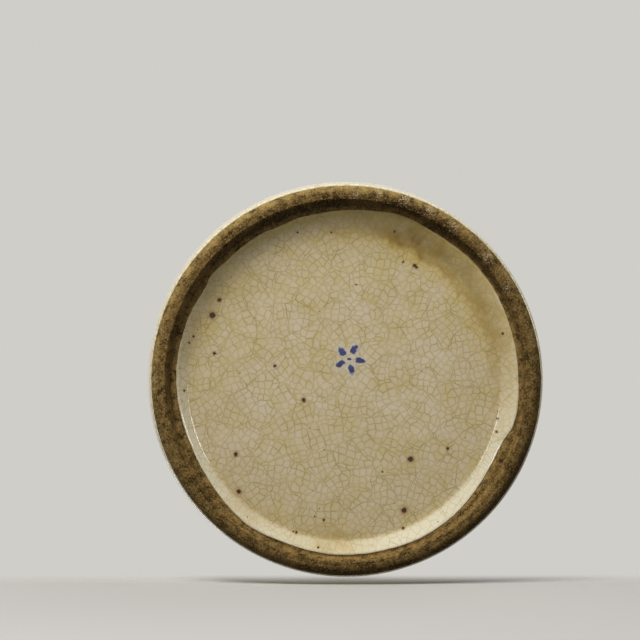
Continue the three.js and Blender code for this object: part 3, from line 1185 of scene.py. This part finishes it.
@dataclass(frozen=True)
class Vessel:
    """The thrown wall, shoulder and neck of the jar."""

    wall: float = 6 * MM
    foot_draw_in: float = 2.4 * MM
    foot_draw_in_power: float = 9
    shoulder_draw_in: float = 0.8 * MM
    shoulder_draw_in_power: float = 4
    shoulder_ends_deg: float = 84
    neck_wall: float = 5.5 * MM
    fillet: float = 3 * MM
    neck_edge: float = 0.5 * MM
    rim_band: float = 1.2 * MM
    rim_inset: float = 0.15 * MM
    rim_depth: float = 2.5 * MM
    rim_round: float = 1.4 * MM
    finger_depth: float = 0.12 * MM
    # The glaze's rolled edge over the foot ring, in millimetres
    rolled_edge: tuple[Point, ...] = (
        (77.9, 3.4), (78.2, 2.3), (78.45, 2.26), (78.7, 2.4), (78.88, 2.66), (79.0, 3.0),
    )

    def build(self, wheel: PottersWheel, glaze: Material, biscuit: Material) -> list[Dressing]:
        """Turns the walls, the shoulder, the neck and the bare rim on which the lid seats.

        Args:
            wheel: What turns them.
            glaze: The wall's glaze.
            biscuit: The rim's biscuit.

        Returns:
            The pieces, from the lowest up.
        """
        fingered = partial(wheel.turn, material=glaze, Finger_Depth=self.finger_depth)
        # The lower wall's edge follows the trimmed foot, which lies a little off the axis
        foot = tuple(PHOTO.from_axis(*PHOTO.foot_px))
        glazed = {
            "lower_body": fingered("lower_wall", self._lower_wall(), Foot_Offset=foot),
            "upper_body": fingered("upper_wall", self._upper_wall()),
            "shoulder": fingered("shoulder_wall", self._shoulder()),
            "neck": wheel.turn("neck_wall", self._neck(), glaze),
        }
        rim = wheel.turn("mouth_rim_biscuit", self._mouth_rim(), biscuit, Out_Of_Round=0.12 * MM)
        dressings = [Dressing(piece, Body.JAR, Slot.GLAZE, node) for node, piece in glazed.items()]
        return [*dressings, Dressing(rim, Body.JAR, Slot.RIM)]

    def _wall_radius(self, height: np.ndarray) -> np.ndarray:
        """Gives the wall's outside radius at a height.

        Args:
            height: Heights, in metres.

        Returns:
            The radius at each.
        """
        up = (height - LEVELS.foot_top) / (LEVELS.shoulder - LEVELS.foot_top)
        at_foot = self.foot_draw_in * np.maximum(0, 1 - up) ** self.foot_draw_in_power
        at_shoulder = self.shoulder_draw_in * np.maximum(0, up) ** self.shoulder_draw_in_power
        return LEVELS.body_radius - at_foot - at_shoulder

    def _side(self, low: float, high: float, steps: int) -> np.ndarray:
        """Draws the wall's outside between two heights."""
        height = np.linspace(low, high, steps)
        return np.column_stack((self._wall_radius(height), height))

    def _crown(self) -> Point:
        """Gives how far the shoulder reaches out past the neck, and how high it rises."""
        outer = float(self._wall_radius(np.array(LEVELS.shoulder)))
        return outer - LEVELS.neck_radius, LEVELS.neck - LEVELS.shoulder

    def _lower_wall(self) -> np.ndarray:
        """Draws the lower wall, with the glaze's rolled edge over the foot ring.

        Returns:
            Its outline, as all the outlines here.
        """
        rolled = np.array(self.rolled_edge) * MM
        side = self._side(3.5 * MM, LEVELS.middle, 110)
        inside = self._side(LEVELS.floor_top + 2 * MM, LEVELS.middle, 40)[::-1] - (self.wall, 0)
        cove = [(inside[-1][0] - 2.5 * MM, LEVELS.floor_top - 0.2 * MM), (75.5 * MM, 8 * MM)]
        return np.concatenate((rolled, side, inside, cove, rolled[:1]))

    def _upper_wall(self) -> np.ndarray:
        """Draws the upper wall."""
        side = self._side(LEVELS.middle, LEVELS.shoulder, 90)
        return np.concatenate((side, side[::-1] - (self.wall, 0), side[:1]))

    def _shoulder(self) -> np.ndarray:
        """Draws the rounded shoulder, up to where the neck's fillet starts.

        Returns:
            Its outline.
        """
        across, rise = self._crown()
        inner_radii = (across + self.neck_wall - self.wall, rise - self.wall)
        outside = arc((LEVELS.neck_radius, LEVELS.shoulder), (across, rise), 0, self.shoulder_ends_deg, 60)
        inside = arc((LEVELS.neck_radius - self.neck_wall, LEVELS.shoulder), inner_radii, 90, 0, 30)
        return np.concatenate((outside, inside, outside[:1]))

    def _neck(self) -> np.ndarray:
        """Draws the upright neck, from its fillet to the glaze's stop below the rim.

        Returns:
            Its outline.
        """
        ends = self.shoulder_ends_deg
        across, up = arc((LEVELS.neck_radius, LEVELS.shoulder), self._crown(), ends, ends, 0)[0]
        bore, stop = LEVELS.neck_radius - self.neck_wall, LEVELS.rim - self.rim_band
        curve = arc((across, up + self.fillet), (across - LEVELS.neck_radius, self.fillet), 270, 180, 14)
        edge = corner((LEVELS.neck_radius, stop), self.neck_edge, 0, 6)
        inner_edge = corner((bore, stop), self.neck_edge, 1, 6)
        foot = [(bore, up - 4 * MM), (across - 1 * MM, up - 4 * MM)]
        return np.concatenate((curve, edge, inner_edge, foot, curve[:1]))

    def _mouth_rim(self) -> np.ndarray:
        """Draws the bare rim."""
        radii = LEVELS.neck_radius - self.neck_wall + self.rim_inset, LEVELS.neck_radius - self.rim_inset
        return ring(radii, (LEVELS.rim - self.rim_depth, LEVELS.rim), self.rim_round, 10, (0, 1))


@dataclass(frozen=True)
class Lid:
    """The lid: a domed cover with a brim, a flange that drops into the neck, and a knob."""

    brim_thickness: float = 4 * MM
    brim_width: float = 8 * MM
    brim_rise: float = 1.2 * MM
    brim_cove: float = 2.4 * MM
    cove_rise: float = 1.6 * MM
    wall: float = 5 * MM
    flange_wall: float = 4 * MM
    knob_foot: float = 9 * MM
    knob_stem: float = 6.5 * MM
    knob_stem_height: float = 4 * MM
    knob_waist: Point = (3.1 * MM, 2.6 * MM)
    knob_gap: float = 0.05 * MM

    def build(self, wheel: PottersWheel, glaze: Material, biscuit: Material) -> list[Dressing]:
        """Turns the cover, the flange, the bare ring that meets the mouth rim, and the knob.

        Args:
            wheel: What turns them.
            glaze: The wall's glaze.
            biscuit: The rim's biscuit.

        Returns:
            The pieces.
        """
        cover = wheel.turn("lid_cover_glazed", self._cover(), glaze, Wave_Length=40 * MM)
        flange = wheel.turn("lid_flange_biscuit", self._flange(), biscuit, Out_Of_Round=0.15 * MM)
        seat = wheel.turn("lid_seat_biscuit", self._seat_ring(), biscuit, Out_Of_Round=0.0)
        small = {"Facets": 120, "Out_Of_Round": 0.15 * MM, "Wave_Length": 25 * MM}
        knob = wheel.turn("lid_knob_glazed", self._knob(), glaze, **small)
        return [
            Dressing(cover, Body.LID, Slot.GLAZE, "lid_cover"),
            Dressing(flange, Body.LID, Slot.RIM, "lid_flange"),
            Dressing(seat, Body.LID, Slot.RIM),
            Dressing(knob, Body.LID, Slot.GLAZE, "lid_knob"),
        ]

    def _cover(self) -> np.ndarray:
        """Draws the domed cover and its brim.

        Returns:
            Its outline.
        """
        seat, edge = LEVELS.seat, self.brim_thickness / 2
        radius = LEVELS.brim_radius - self.brim_width
        base = seat + self.brim_thickness + self.brim_rise
        crown = LEVELS.knob - self.knob_gap
        height = (crown - base) / math.sqrt(1 - (self.knob_foot / radius) ** 2)
        bore = LEVELS.flange_radius - self.flange_wall
        inside = arc((0, seat), (bore, crown - self.wall - seat), 90, 2, 30)
        brim = arc((LEVELS.brim_radius - edge, seat + edge), edge, -90, 90, 20)
        cove_top = base + self.cove_rise
        cove_radii = (self.brim_cove, cove_top - (seat + self.brim_thickness + 0.15 * MM))
        cove = arc((radius + self.brim_cove, cove_top), cove_radii, 270, 190, 8)
        rest = math.degrees(math.acos(self.knob_foot / radius))
        dome = arc((0, base), (radius, height), 5, rest, 60)
        inner_top, outer_top = [(0, crown - self.wall)], [(0, crown)]
        return np.concatenate((inner_top, inside[1:], [(bore, seat)], brim, cove, dome, outer_top))

    def _flange(self) -> np.ndarray:
        """Draws the bare flange that drops into the neck."""
        radii = (LEVELS.flange_radius - self.flange_wall, LEVELS.flange_radius)
        return ring(radii, (LEVELS.flange_bottom, LEVELS.seat + 1 * MM), 1 * MM, 8, (2, 3))

    def _seat_ring(self) -> np.ndarray:
        """Draws the bare ring under the brim."""
        radii = (LEVELS.flange_radius - 1 * MM, LEVELS.brim_radius - self.brim_cove)
        return ring(radii, (LEVELS.seat + 0.02 * MM, LEVELS.seat + 1.5 * MM), 0.5 * MM, 6, (3,))

    def _knob(self) -> np.ndarray:
        """Draws the knob: a flattened ball on a short waisted stem.

        Returns:
            Its outline.
        """
        foot = LEVELS.knob + self.knob_gap
        half = (LEVELS.top - foot - self.knob_stem_height) / 2
        lowest = 6 - math.degrees(math.acos(self.knob_stem / LEVELS.knob_radius))
        ball = arc((0, LEVELS.top - half), (LEVELS.knob_radius, half), lowest, 90, 44)
        waist = arc((self.knob_foot + 0.6 * MM, foot + self.knob_waist[1]), self.knob_waist, 270, 150, 12)
        root = [(0, foot - 1 * MM), (self.knob_foot, foot - 1 * MM)]
        return np.concatenate((root, waist, ball[:-1], [(0, LEVELS.top)]))


# The stage


@dataclass(frozen=True)
class Lamp:
    """A softbox that lights the jar from one side of the photograph's view.

    It also shows as a highlight in the glaze, unless it doesn't shine.
    """

    name: str
    right: float
    up: float
    away: float
    watts: float
    size: float = 0.5
    distance: float = 1.1
    aim: float = 0.0
    shines: bool = True

    def place(self) -> None:
        """Puts the lamp at its distance, turned towards the height that it aims at."""
        data = bpy.data.lights.new(self.name, "AREA")
        data.energy = self.watts
        data.size = self.size
        lamp = bpy.data.objects.new(self.name, data)
        towards = PHOTO.across(self.right, self.up, self.away).normalized()
        lamp.location = Vector((0, 0, self.aim)) + towards * self.distance
        lamp.rotation_mode = "QUATERNION"
        lamp.rotation_quaternion = towards.to_track_quat("Z", "Y")
        lamp.visible_glossy = self.shines
        bpy.context.scene.collection.objects.link(lamp)


@dataclass(frozen=True)
class Stage:
    """A plain pale floor for each way that the jar lies or stands, and the room's pale light."""

    pale: str = "bcbab5"
    pale_in_key: str = "a9a7a3"
    room: str = "dedcd7"
    room_light: float = 0.12
    backdrop: float = 0.86
    half_width: float = 3.0
    gap: float = 0.1 * MM
    fades_mm: Point = (300, 900)
    standing_ends_mm: float = 1000
    lying_ends_mm: float = 5
    ends_over_mm: float = 40
    lamps: tuple[Lamp, ...] = (
        Lamp("key_softbox", right=-0.30, up=0.86, away=-0.40, watts=18, size=0.45, shines=False),
        Lamp("right_strip", right=0.42, up=0.12, away=-0.89, watts=1.0, size=0.16),
        Lamp("left_strip", right=-0.45, up=0.18, away=-0.87, watts=0.8, size=0.16),
        Lamp("standing_key", right=-0.45, up=-0.55, away=0.9, watts=21, size=1.4, aim=0.15, shines=False),
        Lamp("standing_fill", right=0.7, up=0.45, away=0.9, watts=9, size=1.4, aim=0.15, shines=False),
        Lamp("standing_glint", right=-0.6, up=-0.5, away=0.62, watts=3, size=0.4, aim=0.15),
    )

    def build(self) -> None:
        """Builds the floors, the world and the lamps."""
        self._world()
        for lamp in self.lamps:
            lamp.place()
        wide, low = self.half_width, -LEVELS.body_radius - self.gap
        corners = ((-wide, -wide), (wide, -wide), (wide, wide), (-wide, wide))
        standing = [Vector((x, y, 0)) for x, y in corners]
        lying = [PHOTO.across(x, low, z) for x, z in corners]
        self._floor("floor_standing", self.pale, standing, self.standing_ends_mm)
        self._floor("floor_lying", self.pale_in_key, lying, self.lying_ends_mm)

    def _floor(self, name: str, colour: str, corners: Sequence[Vector], ends_mm: float) -> None:
        """Builds one floor, seen only from above, that fades into the room far from the jar.

        Only the camera sees it, so that neither floor stands in the light of a jar that lies or stands
        on the other. It keeps the jar's shadow.

        Args:
            name: The floor's name.
            colour: Its colour, as sRGB hex.
            corners: Its corners, counter-clockwise from above.
            ends_mm: The height from which it fades away, so that the lying jar's floor doesn't stand
                like a wall behind the standing jar.
        """
        canvas = Canvas(name, colour)
        node = canvas.node
        high = node("SeparateXYZ", canvas.place).outputs["Z"]
        unseen = node("Math SUBTRACT", 1.0, node("LightPath").outputs["Is Camera Ray"])
        below = node("NewGeometry").outputs["Backfacing"]
        fade = node("MapRange", node("VectorMath LENGTH", canvas.place), *self.fades_mm, **SOFT)
        end = node("MapRange", high, ends_mm, ends_mm + self.ends_over_mm, **SOFT)
        clear = reduce(partial(node, "Math MAXIMUM"), (below, unseen, fade, end))
        paint = node("BsdfDiffuse", Color=canvas.colour)
        node("OutputMaterial", node("MixShader", clear, paint, node("BsdfTransparent")))
        mesh = bpy.data.meshes.new(name)
        mesh.from_pydata(list(corners), [], [(0, 1, 2, 3)])
        mesh.materials.append(canvas.material)
        new_object(name, mesh)

    def _world(self) -> None:
        """Gives the room a pale colour to the eye, and a soft even light."""
        world = bpy.data.worlds.new("room")
        world.use_nodes = True
        world.node_tree.nodes.clear()
        node = partial(add, world.node_tree)
        path = node("LightPath").outputs
        rays = [path[f"Is {ray} Ray"] for ray in ("Camera", "Glossy", "Transmission")]
        seen = reduce(partial(node, "Math MAXIMUM"), rays)
        shown = node("Background", Color=linear(self.room), Strength=self.backdrop)
        light = node("Background", Color=linear("ffffff"), Strength=self.room_light)
        node("OutputWorld", node("MixShader", seen, light, shown))
        bpy.context.scene.world = world


# Putting it together


@dataclass(frozen=True)
class PorcelainJar:
    """The whole jar and its lid, in their finishes."""

    underside: Underside = Underside()
    vessel: Vessel = Vessel()
    lid: Lid = Lid()
    kiln_sand: tuple[Spot, ...] = (
        Spot(64.3, 37.2, 4.5), Spot(56.6, 49.2, 5), Spot(43.3, 61.8, 4), Spot(33.3, 68.3, 5),
        Spot(23.6, 72.6, 5), Spot(13.2, 74.6, 4), Spot(3.9, 74.4, 4), Spot(-73.2, -9.9, 2),
    )

    def brushed_lines(self) -> tuple[Point, ...]:
        """Gives the cobalt lines: above the foot, under the shoulder, on the neck and on the lid.

        Returns:
            The height and the width in millimetres of each, from the lowest up.
        """
        return (
            (LEVELS.foot_top + 17 * MM, 1.5),
            (LEVELS.foot_top + 20.5 * MM, 0.8),
            (LEVELS.shoulder - 6 * MM, 0.8),
            (LEVELS.shoulder - 2.5 * MM, 1.5),
            (LEVELS.neck - 1.2 * MM, 0.9),
            (LEVELS.rim - 6 * MM, 0.9),
            (LEVELS.seat + 2.2 * MM, 1.3),
            (LEVELS.knob - 2.6 * MM, 0.8),
            (LEVELS.top - 2.2 * MM, 1.2),
        )

    def build(self) -> list[Dressing]:
        """Builds every piece in its finish.

        Returns:
            The pieces, in the order in which a potter makes them, with what each stands for.
        """
        # Glossy cream, thin and pale on the wall, with cracks rubbed tan
        glaze = WallGlaze("crackle_glaze_wall", lines=self.brushed_lines()).make()
        # The same glaze where it pooled, warmer and dirtier, with a painted highlight and painted shade on
        # its wall
        recess = RecessGlaze("crackle_glaze_recess", foot=self.underside).make()
        # Matt, gritty and dark brown, from an iron wash brushed on the bare foot, with painted light and
        # shade on the ring
        foot = Biscuit("iron_washed_biscuit", sand=self.kiln_sand).make()
        # Matt tan clay, where the lid and the mouth were wiped clean and only the fire coloured them
        rim = Biscuit("wiped_biscuit", "b49c74", "8a6f45", "7a6038", "a8793f", "c4b08a", "d0c2a4").make()
        wheel = PottersWheel()
        return [
            *self.underside.build(foot, recess),
            *self.vessel.build(wheel, glaze, rim),
            *self.lid.build(wheel, glaze, rim),
        ]


def main() -> None:
    """Builds the jar, its lid and the stage."""
    logging.basicConfig(level=logging.INFO, format="%(name)s %(message)s")
    PHOTO.add_camera()
    for dressing in PorcelainJar().build():
        dressing.join()
    Stage().build()
    bpy.context.scene.view_settings.view_transform = "Standard"


if __name__ == "__main__":
    main()
